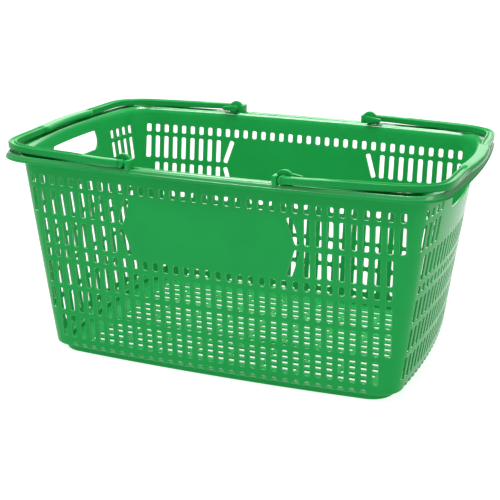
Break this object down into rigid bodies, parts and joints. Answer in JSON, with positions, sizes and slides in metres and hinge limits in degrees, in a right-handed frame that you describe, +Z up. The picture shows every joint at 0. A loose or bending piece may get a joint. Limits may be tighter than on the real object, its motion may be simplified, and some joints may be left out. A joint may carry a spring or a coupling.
{
  "type": "shopping basket",
  "caption": "Open-topped rectangular supermarket hand basket in slotted moulded plastic, with a folding carrying handle at each end and a hand grip cut through each end wall.",
  "frame": {"origin": "centre of the basket's footprint, on the floor it stands on", "axes": "+X along the basket towards the right-hand end, +Y across it towards the far long side, +Z up"},
  "size_m": [0.484, 0.3232, 0.2359],
  "materials": {
    "body_plastic": "glossy mid-green injection-moulded polypropylene",
    "handle_plastic": "glossy mid-green injection-moulded polypropylene"
  },
  "bodies": {
    "body": {"basket_body": "body_plastic"},
    "right_handle": {"handle_right": "handle_plastic"},
    "left_handle": {"handle_left": "handle_plastic"}
  },
  "joints": [
    {"name": "right_handle_swing", "type": "hinge", "parent": "body", "child": "right_handle", "pos_m": [0.0838, 0, 0.2271], "axis": [0, -1, 0], "range_deg": [0, 110]},
    {"name": "left_handle_swing", "type": "hinge", "parent": "body", "child": "left_handle", "pos_m": [-0.0838, 0, 0.2271], "axis": [0, 1, 0], "range_deg": [0, 110]}
  ]
}
